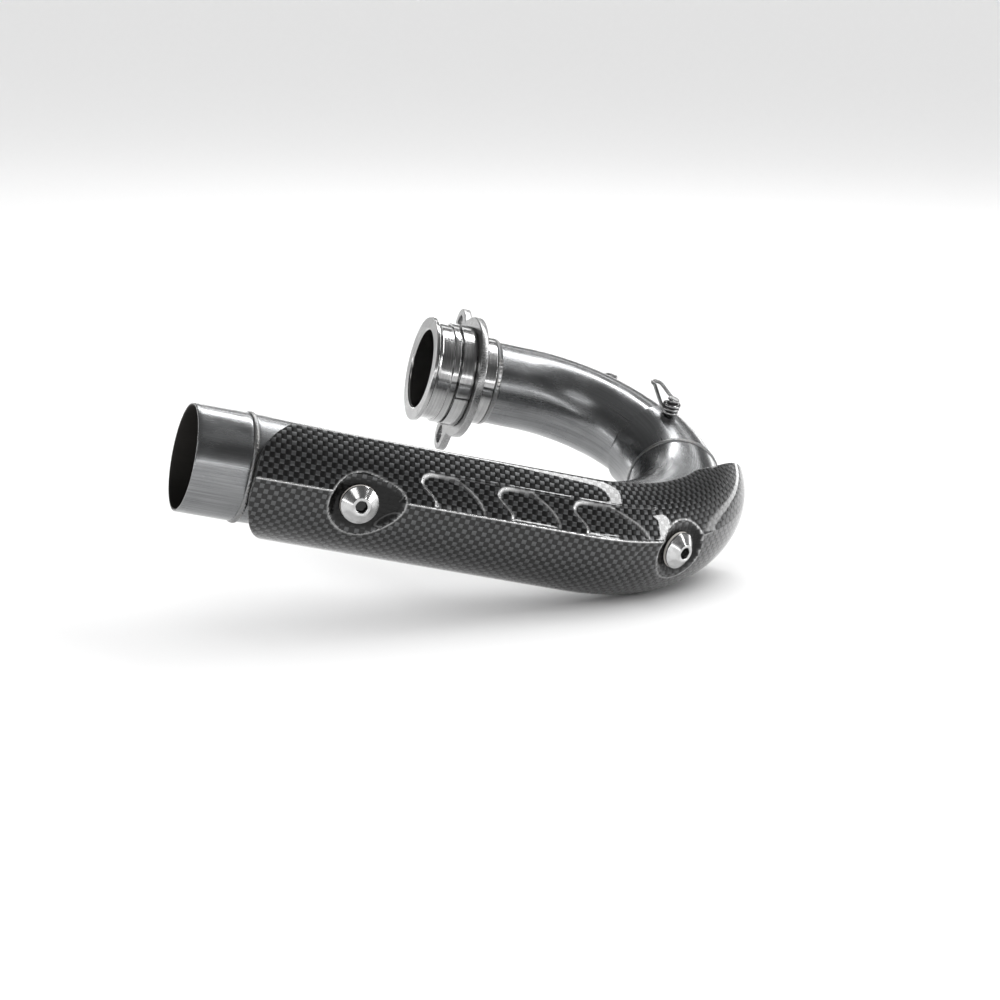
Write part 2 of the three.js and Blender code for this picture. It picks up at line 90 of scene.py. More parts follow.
LIP_RADIUS = 24.4 * MM
LIP_THICKNESS = 1.8 * MM
BARREL_RADIUS = 22.3 * MM
SHOULDER_RADIUS = 23.3 * MM
SHOULDER_FRONT = 9.3 * MM
SHOULDER_BACK = 12.3 * MM
NECK_RADIUS = 20.4 * MM
SPIGOT_BORE = 18.1 * MM
MOUTH_CHAMFER = 0.65 * MM
LIP_FILLET = ((0.6 * MM, 0.5 * MM), (1.8 * MM, 0))

COLLAR_FRONT = 13.3 * MM
COLLAR_STEP = 19.8 * MM
COLLAR_BACK = 23 * MM
COLLAR_RADIUS = 23.6 * MM
COLLAR_PILOT = 22.1 * MM
COLLAR_BORE = 20.75 * MM
COLLAR_EASE = 0.3 * MM

FLANGE_FRONT = 20.2 * MM
FLANGE_THICKNESS = 3.5 * MM
FLANGE_RADIUS = 28.3 * MM
FLANGE_BORE = 22.5 * MM
STUD_HOLE = 4.2 * MM
EAR_RADIUS = 7.4 * MM
EAR_ROOT = 1.6 * EAR_RADIUS
EAR_BLEND = 2.5 * MM
PLATE_EASE = 0.45 * MM
STUDS = ((math.radians(22), 32.6 * MM), (math.radians(-81.7), 34.2 * MM))

BEAD_WIDTH = 2.6 * MM
BEAD_HEIGHT = 0.5 * MM
BEAD_ROOT = 0.5 * MM
RIPPLE_PITCH = 1.9 * MM
HEAT_REACH = 5 * MM
TUBE_EASE = 0.35 * MM
BEND_STEP = 2 * MM

SHIELD_RADIUS = 28.5 * MM
SHIELD_THICKNESS = 1.6 * MM
SHIELD_EASE = SHIELD_THICKNESS / 2
SHIELD_LOW = math.radians(-74)
SHIELD_HIGH = math.radians(78)
CREASE_RADIUS = 30 * MM
CREASE_ANGLE = math.radians(22)
SHIELD_FRONT = 152 * MM
SHIELD_REAR = 395.7 * MM
SHIELD_MIDDLE = math.radians(2)
FRONT_SWEEP = 38 * MM
REAR_CROWN = math.radians(10)
REAR_SWEEP_HIGH = 15 * MM
REAR_SWEEP_LOW = 19 * MM

FLARE = 3 * MM
FLARE_ANGLE = math.radians(28)
FLARE_SPREAD = math.radians(45)
FLARE_FRONT = 160 * MM
FLARE_END = 215 * MM

SCREWS = {"front": (212 * MM, math.radians(10.5)), "rear": (348.5 * MM, math.radians(13.5))}
BUNG_RADIUS = 6.5 * MM
BUNG_TOP = 22.9 * MM
INNER_WASHER = (23.2 * MM, 23.7 * MM)
SEAT_OUTER = 25.6 * MM
OUTER_WASHER = (25.9 * MM, 26.8 * MM)
HEAD_BOTTOM = 27.1 * MM
HEAD_TOP = 31.2 * MM
HEAD_RADIUS = 8.3 * MM
HEAD_CROWN = 3.9 * MM
SHANK_RADIUS = 3 * MM
SHANK_END = 20.2 * MM
HEX_RADIUS = 2.7 * MM
HEX_DEPTH = 2.6 * MM
DISH_RADIUS = 13.5 * MM

POST_STATION = 123.5 * MM
POST_ANGLE = math.radians(88)
POST_RADIUS = 1.9 * MM
POST_HEAD_RADIUS = 2.9 * MM
POST_HEAD = (7.1 * MM, 7.9 * MM)
POST_FILLET = ((0, 0.9 * MM), (0.6 * MM, 0.3 * MM), (1.2 * MM, 0))
AXIS_HOLE = 0.05 * MM
SPRING_WIRE = 0.85 * MM
COIL_RADIUS = 3.3 * MM
COIL_PITCH = 1.8 * MM
COIL_TURNS = 2.5
COIL_BASE = 1.15 * MM
COIL_POINTS = 10
LOOP_LENGTH = 13.2 * MM
LOOP_TOP = 9.8 * MM
LEG_RISE = 0.45
LOOP_HEADING = math.radians(20)
LOOP_HALF_WIDTH = 2.5 * MM
LOOP_OPENING = math.radians(35)

HOOK_WIRE = 1.4 * MM
HOOK_ROUTE = ((6, 0), (0, 0), (-3, 0.8), (-4.2, 3), (-2.8, 5), (0.5, 5.6))
FRONT_HOOK = (84 * MM, math.radians(23))
OUTLET_HOOK = (409 * MM, TURN / 2)

# ---- centreline ----


def station(distance):
    """Point, tangent and outward direction of the flat centreline."""
    turned_by = min(max(distance - FRONT_LEG, 0), BEND_END - FRONT_LEG) / BEND_RADIUS
    tangent = Vector((math.cos(turned_by), -math.sin(turned_by), 0))
    outward = Vector((math.sin(turned_by), math.cos(turned_by), 0))
    straight = min(distance - FRONT_LEG, 0) + max(distance - BEND_END, 0)
    point = Vector((FRONT_LEG, -BEND_RADIUS, 0)) + outward * BEND_RADIUS + tangent * straight
    return point, tangent, outward


def on_pipe(distance, angle, radius):
    """A point round the centreline; angle 0 faces the outside of the bend."""
    point, _, outward = station(distance)
    return point + outward * (radius * math.cos(angle)) + UP * (radius * math.sin(angle))


def seat(distance, angle):
    """A frame on the pipe's axis: +X along the pipe, +Z out through the wall at that angle."""
    point, tangent, outward = station(distance)
    out = outward * math.cos(angle) + UP * math.sin(angle)
    axes = Matrix((tangent, out.cross(tangent), out)).transposed().to_4x4()
    return Matrix.Translation(point) @ axes


def in_seat(axes):
    """Places a turned piece whose axis is the seat's +Z."""

    def spot(height, angle, radius):
        return axes @ Vector((*polar(radius, angle), height))

    return spot


# ---- numbers ----


def polar(radius, angle):
    return radius * math.cos(angle), radius * math.sin(angle)


def mix(start, end, amount):
    return start + (end - start) * amount


def smoothstep(value):
    value = min(max(value, 0), 1)
    return value * value * (3 - 2 * value)


def bell(value, width):
    return math.exp(-((value / width) ** 2))


def smooth_min(first, second, blend):
    overlap = max(blend - abs(first - second), 0) / blend
    return min(first, second) - overlap * overlap * blend / 4


def spaced(start, end, step):
    """Numbers from start to end, both included, evenly spaced by about that step."""
    count = max(1, round(abs(end - start) / step))
    return [mix(start, end, index / count) for index in range(count + 1)]


# ---- meshes ----


def surface(name, rings, lay, wrap_rings=True, wrap_points=True, caps=False, traits=None):
    """A quad surface through rings of points. lay gives each point's place on the straightened
    pipe, which the materials read, and traits give named numbers for each point."""
    count = len(rings[0])
    points = [FITTED @ point for ring in rings for point in ring]
    faces = []
    for i in range(len(rings) if wrap_rings else len(rings) - 1):
        here = i * count
        there = (i + 1) % len(rings) * count
        for j in range(count if wrap_points else count - 1):
            k = (j + 1) % count
            faces.append((here + j, here + k, there + k, there + j))
    if caps:
        faces.append(tuple(range(count))[::-1])
        faces.append(tuple(range(len(points) - count, len(points))))
    mesh = bpy.data.meshes.new(name)
    mesh.from_pydata(points, [], faces)
    mesh.shade_smooth()
    recorded = mesh.attributes.new("lay", "FLOAT_VECTOR", "POINT")
    recorded.data.foreach_set("vector", [number for place in lay for number in place])
    for trait, values in (traits or {}).items():
        mesh.attributes.new(trait, "FLOAT", "POINT").data.foreach_set("value", values)
    return outward_facing(add_object(name, mesh))


def add_object(name, data):
    piece = bpy.data.objects.new(name, data)
    bpy.context.scene.collection.objects.link(piece)
    return piece


def outward_facing(piece):
    shape = bmesh.new()
    shape.from_mesh(piece.data)
    bmesh.ops.recalc_face_normals(shape, faces=shape.faces)
    shape.to_mesh(piece.data)
    shape.free()
    return piece


def flat_faces_flat(piece):
    """Keeps the shading of flats flat beside small rounded edges."""
    piece.modifiers.new("flats", "WEIGHTED_NORMAL").keep_sharp = True
    return piece


def heat(distance):
    """How strongly the nearest weld has tinted the pipe there."""
    return max(bell(distance - weld, HEAT_REACH) for weld in WELDS)


def turned(name, outline, spot, sides=96, relief=None, bore=0, caps=False):
    """A ring or a solid of revolution: outline lists (along, radius), and spot() places each point.
    Inside the bore radius it carries a trait which the materials darken: the pipe and spigot bores are
    sooted, and the screw's hex socket gets painted shade."""
    rings = []
    lay = []
    soot_and_shade = []
    tint = []
    for along, radius in outline:
        ring = []
        for step in range(sides):
            angle = TURN * step / sides
            reach = radius + (relief(along, angle, radius) if relief else 0)
            ring.append(spot(along, angle, reach))
            lay.append((along, *polar(reach, angle)))
            soot_and_shade.append(1.0 if radius < bore else 0.0)
            tint.append(heat(along))
        rings.append(ring)
    traits = {"soot_and_shade": soot_and_shade, "heat": tint}
    return surface(name, rings, lay, wrap_rings=not caps, caps=caps, traits=traits)


def rounded(corners, radius, steps=4, closed=True):
    """The outline through these corners, each eased by a small curve."""
    outline = []
    count = len(corners)
    for index, place in enumerate(corners):
        corner = Vector(place)
        if not closed and index in (0, count - 1):
            outline.append(corner)
            continue
        back = Vector(corners[index - 1]) - corner
        ahead = Vector(corners[(index + 1) % count]) - corner
        reach = min(radius, 0.45 * back.length, 0.45 * ahead.length)
        start = corner + back.normalized() * reach
        end = corner + ahead.normalized() * reach
        for step in range(steps + 1):
            t = step / steps
            outline.append(start * (1 - t) ** 2 + corner * (2 * t * (1 - t)) + end * t * t)
    return outline


def followed(outline, step):
    """The same closed outline, with its long stretches cut short enough to follow a bend."""
    cut = []
    for index, here in enumerate(outline):
        ahead = outline[(index + 1) % len(outline)]
        pieces = max(1, math.ceil((ahead - here).length / step))
        cut += [here.lerp(ahead, part / pieces) for part in range(pieces)]
    return cut


def pipe(name, start, end, outer_start, outer_end, wall):
    corners = [
        (start, outer_start),
        (end, outer_end),
        (end, outer_end - wall),
        (start, outer_start - wall),
    ]
    outline = followed(rounded(corners, TUBE_EASE, steps=3), BEND_STEP)
    bore = min(outer_start, outer_end) - 0.7 * wall
    return turned(name, outline, on_pipe, bore=bore)


def weld_bead(name, distance, surface_radius, fall=0):
    """A bead of overlapping ripples round the pipe; fall is how far its rear edge drops."""
    half = BEAD_WIDTH / 2
    ripples = round(TURN * surface_radius / RIPPLE_PITCH)
    outline = []
    for along in spaced(-1, 1, 0.125):
        crown = BEAD_HEIGHT * math.sqrt(max(1 - along * along, 0))
        outline.append((distance + half * along, surface_radius + crown - fall * (along + 1) / 2))
    outline.append((distance + half, surface_radius - fall - BEAD_ROOT))
    outline.append((distance - half, surface_radius - BEAD_ROOT))

    def relief(along, angle, radius):
        if radius < surface_radius - fall - 0.2 * MM:
            return 0
        across = (along - distance) / half
        drift = 0.35 * noise.noise(Vector((*polar(9, angle), distance * 90)))
        phase = (angle * ripples / TURN + 0.75 * across * across + drift) % 1
        return (0.22 * phase - 0.11 + 0.12 * drift) * MM * (1 - 0.6 * across * across)

    return turned(name, outline, on_pipe, sides=8 * ripples, relief=relief)


def eased_path(points, steps):
    """A centripetal Catmull-Rom curve through the points."""
    ends = [points[0] * 2 - points[1]] + points + [points[-1] * 2 - points[-2]]
    path = []
    for a, b, c, d in zip(ends, ends[1:], ends[2:], ends[3:]):
        t1 = math.sqrt((b - a).length)
        t2 = t1 + math.sqrt((c - b).length)
        t3 = t2 + math.sqrt((d - c).length)
        for step in range(steps):
            t = mix(t1, t2, step / steps)
            ab = a.lerp(b, t / t1)
            bc = b.lerp(c, (t - t1) / (t2 - t1))
            cd = c.lerp(d, (t - t2) / (t3 - t2))
            path.append(ab.lerp(bc, t / t2).lerp(bc.lerp(cd, (t - t1) / (t3 - t1)), (t - t1) / (t2 - t1)))
    return path + [points[-1]]


def wire(name, points, radius, axes, steps=6, sides=20):
    """A round wire with domed ends along a path in a seat's frame."""
    path = eased_path(points, steps)
    tangents = [(ahead - back).normalized() for back, ahead in zip(path[:1] + path, path[1:] + path[-1:])]
    side = tangents[0].orthogonal().normalized()
    rings = []
    lay = []
    length = 0

    def add_ring(centre, reach, tangent):
        other = tangent.cross(side)
        ring = []
        for step in range(sides):
            angle = TURN * step / sides
            across = side * (reach * math.cos(angle)) + other * (reach * math.sin(angle))
            ring.append(axes @ (centre + across))
            lay.append((length, *polar(reach, angle)))
        rings.append(ring)

    def add_dome(centre, tangent, leans, way):
        for lean in leans:
            add_ring(centre + tangent * (way * radius * math.sin(lean)), radius * math.cos(lean), tangent)

    leans = [TURN / 4 * step / 5 for step in range(1, 5)]
    add_dome(path[0], tangents[0], reversed(leans), -1)
    for index, (point, tangent) in enumerate(zip(path, tangents)):
        side = (side - tangent * side.dot(tangent)).normalized()
        length += (point - path[index - 1]).length if index else 0
        add_ring(point, radius, tangent)
    add_dome(path[-1], tangents[-1], leans, 1)
    return surface(name, rings, lay, wrap_rings=False, caps=True)


# ---- materials ----


class Surface:
    """A material under construction: one Principled shader and the nodes that feed it."""

    def __init__(self, name, **sockets):
        self.material = bpy.data.materials.new(name)
        self.material.use_nodes = True
        self.tree = self.material.node_tree
        self.shader = self.tree.nodes["Principled BSDF"]
        for socket, value in sockets.items():
            self.shader.inputs[socket.replace("_", " ")].default_value = value

    def add(self, kind, links=None, **settings):
        node = self.tree.nodes.new(kind)
        for setting, value in settings.items():
            setattr(node, setting, value)
        for socket, source in (links or {}).items():
            self.feed(node.inputs[socket], source)
        return node

    def feed(self, socket, source):
        if isinstance(source, bpy.types.NodeSocket):
            self.tree.links.new(source, socket)
        else:
            socket.default_value = source

    def trait(self, name):
        return self.add("ShaderNodeAttribute", attribute_name=name).outputs["Fac"]

    def lay(self, scale=(1, 1, 1)):
        """The straightened pipe's coordinates in millimetres, stretched."""
        place = self.add("ShaderNodeAttribute", attribute_name="lay").outputs["Vector"]
        per_mm = [factor / MM for factor in scale]
        return self.add("ShaderNodeVectorMath", {0: place, 1: per_mm}, operation="MULTIPLY").outputs[0]

    def noise(self, scale, detail=4, roughness=0.5):
        """Noise whose features are about one unit across in the stretched coordinates."""
        settings = {"Vector": self.lay(scale), "Scale": 1, "Detail": detail, "Roughness": roughness}
        return self.add("ShaderNodeTexNoise", settings).outputs["Fac"]

    def math(self, operation, first, second=0.0):
        return self.add("ShaderNodeMath", {0: first, 1: second}, operation=operation).outputs[0]

    def span(self, value, low, high, to_low=0.0, to_high=1.0):
        links = {"Value": value, "From Min": low, "From Max": high, "To Min": to_low, "To Max": to_high}
        return self.add("ShaderNodeMapRange", links).outputs["Result"]

    def between(self, noise, low, high):
        """Stretches a noise's usual range to the one given."""
        return self.span(noise, 0.3, 0.7, low, high)

    def blend(self, amount, first, second):
        node = self.add("ShaderNodeMix", data_type="RGBA")
        self.feed(node.inputs[0], amount)
        self.feed(node.inputs[6], first)
        self.feed(node.inputs[7], second)
        return node.outputs[2]

    def choose(self, amount, first, second):
        return self.add("ShaderNodeMix", {0: amount, 2: first, 3: second}, data_type="FLOAT").outputs[0]

    def bump(self, height, distance, strength=1.0, after=None):
        """Relief whose full height is that distance."""
        links = {"Height": height, "Distance": distance, "Strength": strength}
        if after:
            links["Normal"] = after
        return self.add("ShaderNodeBump", links).outputs["Normal"]

    def finish(self, tone, roughness, relief=None):
        self.feed(self.shader.inputs["Base Color"], tone)
        self.feed(self.shader.inputs["Roughness"], roughness)
        if relief:
            self.feed(self.shader.inputs["Normal"], relief)
        return self.material


def grey(value, warm=0.0):
    return (value * (1 + warm), value, value * (1 - warm), 1)


def pipe_steel():
    """Drawn tube: long streaks, cloudy haze, a dark tint by the welds and a sooted bore."""
    steel = Surface("pipe_steel", Metallic=1)
    streaks = steel.noise((0.02, 1.6, 1.6), detail=6, roughness=0.65)
    haze = steel.noise((0.06, 0.1, 0.1), detail=3)
    scratches = steel.noise((0.25, 5, 5), detail=2)
    tone = steel.blend(steel.span(streaks, 0.3, 0.7), grey(0.17, -0.02), grey(0.33, -0.015))
    tone = steel.blend(steel.span(haze, 0.35, 0.7, 0, 0.5), tone, grey(0.2, -0.02))
    tone = steel.blend(steel.math("MULTIPLY", steel.trait("heat"), 0.75), tone, grey(0.12, -0.04))
    tone = steel.blend(steel.trait("soot_and_shade"), tone, grey(0.05, 0.06))
    rough = steel.between(haze, 0.16, 0.3)
    rough = steel.math("ADD", rough, steel.between(streaks, 0.06, -0.03))
    rough = steel.math("ADD", rough, steel.math("MULTIPLY", steel.trait("soot_and_shade"), 0.4))
    relief = steel.bump(streaks, 0.02 * MM, 0.5)
    relief = steel.bump(scratches, 0.006 * MM, 0.5, after=relief)
    return steel.finish(tone, rough, relief)


def machined_steel():
    """Turned and polished: fine lines round the axis, light handling haze."""
    steel = Surface("machined_steel", Metallic=1)
    lines = steel.noise((7, 0.02, 0.02), detail=3, roughness=0.7)
    haze = steel.noise((0.12, 0.12, 0.12), detail=3)
    tone = steel.blend(steel.span(lines, 0.35, 0.65), grey(0.3), grey(0.56))
    tone = steel.blend(steel.span(haze, 0.45, 0.75, 0, 0.5), tone, grey(0.2))
    tone = steel.blend(steel.trait("soot_and_shade"), tone, grey(0.4, 0.02))
    rough = steel.between(haze, 0.08, 0.17)
    rough = steel.math("ADD", rough, steel.between(lines, 0.0, 0.05))
    rough = steel.math("ADD", rough, steel.math("MULTIPLY", steel.trait("soot_and_shade"), 0.06))
    relief = steel.bump(lines, 0.012 * MM, 0.6)
    return steel.finish(tone, rough, relief)


def flange_steel():
    """Laser-cut and tumbled plate: satin, slightly pitted."""
    steel = Surface("flange_steel", Metallic=1)
    grain = steel.noise((0.5, 3.5, 0.35), detail=4, roughness=0.6)
    pits = steel.noise((1.4, 1.4, 1.4), detail=5, roughness=0.7)
    tone = steel.blend(steel.span(pits, 0.35, 0.7), grey(0.38), grey(0.22))
    rough = steel.between(grain, 0.22, 0.36)
    relief = steel.bump(grain, 0.015 * MM, 0.6)
    relief = steel.bump(pits, 0.03 * MM, 0.5, after=relief)
    return steel.finish(tone, rough, relief)


def weld_metal():
    """Random darker and lighter grain, with a dull oxide skin."""
    metal = Surface("weld_metal", Metallic=1)
    grain = metal.noise((2.5, 2.5, 2.5), detail=4, roughness=0.7)
    cloud = metal.noise((0.3, 0.3, 0.3), detail=2)
    tone = metal.blend(metal.span(grain, 0.3, 0.7), grey(0.16, -0.05), grey(0.36))
    tone = metal.blend(metal.span(cloud, 0.4, 0.7, 0, 0.6), tone, grey(0.22, 0.05))
    rough = metal.between(grain, 0.25, 0.42)
    return metal.finish(tone, rough, metal.bump(grain, 0.02 * MM, 0.6))


def spring_steel():
    """Bright drawn wire with faint die lines along it."""
    steel = Surface("spring_steel", Metallic=1)
    lines = steel.noise((0.05, 9, 9), detail=2)
    wear = steel.noise((0.5, 0.5, 0.5), detail=3)
    tone = steel.blend(steel.span(wear, 0.35, 0.7), grey(0.36), grey(0.2))
    rough = steel.between(lines, 0.12, 0.24)
    return steel.finish(tone, rough, steel.bump(lines, 0.01 * MM, 0.5))


def screw_metal():
    """Turned light alloy: fine rings on the cone, and painted shade in the hex socket."""
    alloy = Surface("screw_metal", Metallic=1)
    rings = alloy.noise((9, 0.02, 0.02), detail=2, roughness=0.6)
    wear = alloy.noise((0.4, 0.4, 0.4), detail=4)
    tone = alloy.blend(alloy.span(wear, 0.4, 0.75), grey(0.6), grey(0.42))
    # painted shade: the hex socket is darkened to near black
    tone = alloy.blend(alloy.trait("soot_and_shade"), tone, grey(0.04))
    rough = alloy.between(rings, 0.13, 0.22)
    return alloy.finish(tone, rough, alloy.bump(rings, 0.008 * MM, 0.6))


TOW = 2.25 * MM


def carbon_laminate():
    """Plain-weave carbon under clear resin. Each tow bulges over its neighbours, and its fibres run along
    it; the tows running one way are painted lighter than those running the other, a painted sheen
    standing in for how the two directions catch the light in turn. The rolled cut edge is lightened,
    partly its own tone and partly a painted highlight; the pressed edges get painted highlights and the
    recesses painted shade, whatever the light."""
    carbon = Surface("carbon_laminate", Metallic=0.9, Coat_Roughness=0.03, Coat_IOR=1.42)
    across = carbon.add("ShaderNodeSeparateXYZ", {0: carbon.lay((MM / TOW, MM / TOW, 0))})
    u, v = across.outputs["X"], across.outputs["Y"]
    checks = carbon.math("ADD", carbon.math("FLOOR", u), carbon.math("FLOOR", v))
    over = carbon.math("FLOORED_MODULO", checks, 2.0)
    bulge_u = carbon.math("SINE", carbon.math("MULTIPLY", carbon.math("FRACT", u), math.pi))
    bulge_v = carbon.math("SINE", carbon.math("MULTIPLY", carbon.math("FRACT", v), math.pi))
    fibres_u = carbon.noise((0.4, 14, 1), detail=2)
    fibres_v = carbon.noise((14, 0.4, 1), detail=2)
    height = carbon.choose(over, carbon.math("POWER", bulge_v, 0.6), carbon.math("POWER", bulge_u, 0.6))
    gap = carbon.math("MINIMUM", bulge_u, bulge_v)
    fibres = carbon.choose(over, fibres_u, fibres_v)
    # painted sheen: tows running one way are painted lighter than the same tows running the other way
    painted_tow_sheen = carbon.blend(over, grey(0.1, -0.02), grey(0.008))
    tone = carbon.blend(carbon.span(gap, 0.05, 0.35), grey(0.004), painted_tow_sheen)
    tone = carbon.blend(carbon.span(fibres, 0.35, 0.65, 0, 0.4), tone, grey(0.01))
    # the rolled cut edge is lightened, partly the cut laminate's own lighter tone and partly a painted
    # highlight along the rim
    tone = carbon.blend(carbon.trait("edge"), tone, grey(0.16))
    # painted shade: the recesses round the screws are darkened to near black, and their clear coat is
    # thinned so they reflect less
    painted_recess_shade = carbon.trait("painted_recess_shade")
    tone = carbon.blend(painted_recess_shade, tone, grey(0.01))
    # painted highlight: the crease, the gills' edges and the recess rims are lightened to pale grey
    bead = carbon.trait("bead")
    tone = carbon.blend(bead, tone, grey(0.68))
    relief = carbon.bump(height, 0.22 * MM, 1.0)
    relief = carbon.bump(fibres, 0.02 * MM, 0.5, after=relief)
    ripple = carbon.bump(carbon.noise((0.09, 0.09, 0.09), detail=1), 0.05 * MM, 0.5)
    carbon.feed(carbon.shader.inputs["Coat Weight"], carbon.span(painted_recess_shade, 0, 1, 1, 0.4))
    carbon.feed(carbon.shader.inputs["Coat Normal"], ripple)
    rough = carbon.choose(bead, carbon.between(fibres, 0.32, 0.45), 0.2)
    return carbon.finish(tone, rough, relief)


def laminate_lining():
    """The mould's rough side: matt resin over glass cloth."""
    lining = Surface("laminate_lining", Metallic=0)
    weave = lining.noise((0.9, 0.9, 0.2), detail=3)
    stain = lining.noise((0.08, 0.08, 0.08), detail=3)
    tone = lining.blend(lining.span(weave, 0.35, 0.7), grey(0.035, 0.05), grey(0.09, 0.08))
    tone = lining.blend(lining.span(stain, 0.4, 0.7, 0, 0.6), tone, grey(0.03, 0.1))
    rough = lining.between(weave, 0.45, 0.7)
    return lining.finish(tone, rough, lining.bump(weave, 0.15 * MM, 0.8))


def insulating_board():
    board = Surface("insulating_board", Metallic=0)
    flecks = board.noise((3, 3, 3), detail=4, roughness=0.7)
    tone = board.blend(board.span(flecks, 0.35, 0.65), grey(0.42, 0.06), grey(0.62, 0.05))
    rough = board.between(flecks, 0.75, 0.95)
    return board.finish(tone, rough, board.bump(flecks, 0.05 * MM, 0.8))


def floor_paper():
    paper = Surface("floor_paper", Metallic=0, Specular_IOR_Level=0.2)
    place = paper.add("ShaderNodeTexCoord").outputs["Object"]
    fibre = paper.add("ShaderNodeTexNoise", {"Vector": place, "Scale": 900, "Detail": 3}).outputs["Fac"]
    tone = paper.blend(fibre, grey(0.86), grey(0.9))
    return paper.finish(tone, paper.between(fibre, 0.6, 0.75))


BUILDERS = (
    pipe_steel, machined_steel, flange_steel, weld_metal,
    spring_steel, screw_metal, carbon_laminate, insulating_board,
)
MATERIALS = {build.__name__: build() for build in BUILDERS}


def dress(piece, body, slot, *nodes, material=None):
    """Finishes a piece: its material, the body it rides on and the CAD nodes it stands for."""
    piece.data.materials.append(material or MATERIALS[slot])
    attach(piece, body)
    if nodes:
        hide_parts(*nodes)


# ---- port end ----


def port_spigot():
    corners = [
        (0, SPIGOT_BORE + MOUTH_CHAMFER),
        (0, LIP_RADIUS),
        (LIP_THICKNESS, LIP_RADIUS),
        *((LIP_THICKNESS + along, BARREL_RADIUS + rise) for along, rise in LIP_FILLET),
        (SHOULDER_FRONT, BARREL_RADIUS),
        (SHOULDER_FRONT, SHOULDER_RADIUS),
        (SHOULDER_BACK, SHOULDER_RADIUS),
        (SHOULDER_BACK, NECK_RADIUS),
        (SPIGOT_END, NECK_RADIUS),
        (SPIGOT_END, SPIGOT_BORE),
        (MOUTH_CHAMFER, SPIGOT_BORE),
    ]
    bore = SPIGOT_BORE + 0.1 * MM
    piece = turned("spigot", rounded(corners, TUBE_EASE), on_pipe, sides=160, bore=bore)
    dress(flat_faces_flat(piece), "front_header", "machined_steel", "port_spigot")
    middle = SPIGOT_END + GAP + BEAD_WIDTH / 2
    bead = weld_bead("spigot_bead", middle, NECK_RADIUS - 0.4 * MM, fall=0.9 * MM)
    dress(bead, "front_header", "weld_metal", "spigot_weld_bead")


def collar_half(name, node, low):
    """Half of the stepped thrust ring, cut straight through its axis."""
    corners = [
        (COLLAR_FRONT, COLLAR_RADIUS),
        (COLLAR_STEP, COLLAR_RADIUS),
        (COLLAR_STEP, COLLAR_PILOT),
        (COLLAR_BACK, COLLAR_PILOT),
        (COLLAR_BACK, COLLAR_BORE),
        (COLLAR_FRONT, COLLAR_BORE),
    ]
    outline = rounded(corners, COLLAR_EASE)
    rings = []
    lay = []
    for turn in spaced(0, 1, 1 / 90):
        ring = []
        for along, radius in outline:
            start = math.asin(GAP / 2 / radius)
            angle = low + mix(start, TURN / 2 - start, turn)
            ring.append(on_pipe(along, angle, radius))
            lay.append((along, *polar(radius, angle)))
        rings.append(ring)
    piece = surface(name, rings, lay, wrap_rings=False, caps=True)
    dress(flat_faces_flat(piece), "thrust_collar", "machined_steel", node)


def flange_reach(angle):
    """Radius of the flange's outline: a disc with two ears, blended where they meet it."""
    reach = FLANGE_RADIUS
    for stud, stud_reach in STUDS:
        off = abs((angle - stud + TURN / 2) % TURN - TURN / 2)
        if off > TURN / 4:
            continue
        sideways = stud_reach * math.sin(off)
        ear = 0
        if sideways < EAR_RADIUS:
            ear = stud_reach * math.cos(off) + math.sqrt(EAR_RADIUS**2 - sideways**2)
        slope = (EAR_ROOT - EAR_RADIUS) / stud_reach
        flank = EAR_ROOT / (math.sin(off) + slope * math.cos(off))
        if flank * math.cos(off) < stud_reach:
            ear = flank
        reach = -smooth_min(-reach, -ear, EAR_BLEND)
    return reach


def plate_loops():
    """The flange's outline, bore and stud holes, each as a function of inset to a list of points."""

    def outer(inset):
        for angle in spaced(0, TURN, TURN / 240)[:-1]:
            reach = flange_reach(angle) - inset
            yield Vector(polar(reach, angle))

    def hole(centre, radius, sides):
        def loop(inset):
            for step in range(sides):
                angle = TURN * step / sides
                reach = radius + inset
                yield centre + Vector(polar(reach, angle))

        return loop

    studs = [Vector(polar(reach, angle)) for angle, reach in STUDS]
    return [outer, hole(Vector((0, 0)), FLANGE_BORE, 160)] + [hole(stud, STUD_HOLE, 48) for stud in studs]


def port_flange():
    """A plate with eased edges: walls from inset loops, then flat faces filled between them."""
    ease = PLATE_EASE
    section = [(ease, 0)]
    section += [(ease * (1 - math.sin(lean)), ease * (1 - math.cos(lean))) for lean in (0.5, 1.0)]
    section += [(0, ease), (0, FLANGE_THICKNESS - ease)]
    section += [(inset, FLANGE_THICKNESS - depth) for inset, depth in section[2:0:-1]]
    section += [(ease, FLANGE_THICKNESS)]
    shape = bmesh.new()
    rims = {0: [], FLANGE_THICKNESS: []}
    for loop in plate_loops():
        rings = []
        for inset, depth in section:
            ring = [shape.verts.new((FLANGE_FRONT + depth, *place)) for place in loop(inset)]
            rings.append(ring)
        for here, there in zip(rings, rings[1:]):
            for j in range(len(here)):
                k = (j + 1) % len(here)
                shape.faces.new((here[j], here[k], there[k], there[j])).smooth = True
        for depth, ring in ((0, rings[0]), (FLANGE_THICKNESS, rings[-1])):
            rims[depth] += [shape.edges.get((ring[j - 1], ring[j])) for j in range(len(ring))]
    for edges in rims.values():
        bmesh.ops.triangle_fill(shape, use_beauty=True, use_dissolve=False, edges=edges)
    bmesh.ops.recalc_face_normals(shape, faces=shape.faces)
    mesh = bpy.data.meshes.new("flange")
    shape.to_mesh(mesh)
    shape.free()
    mesh.attributes.new("lay", "FLOAT_VECTOR", "POINT")
    places = [number for vertex in mesh.vertices for number in vertex.co]
    mesh.attributes["lay"].data.foreach_set("vector", places)
    mesh.transform(FITTED)
    dress(add_object("flange", mesh), "stud_flange", "flange_steel", "port_flange")


# ---- pipes ----


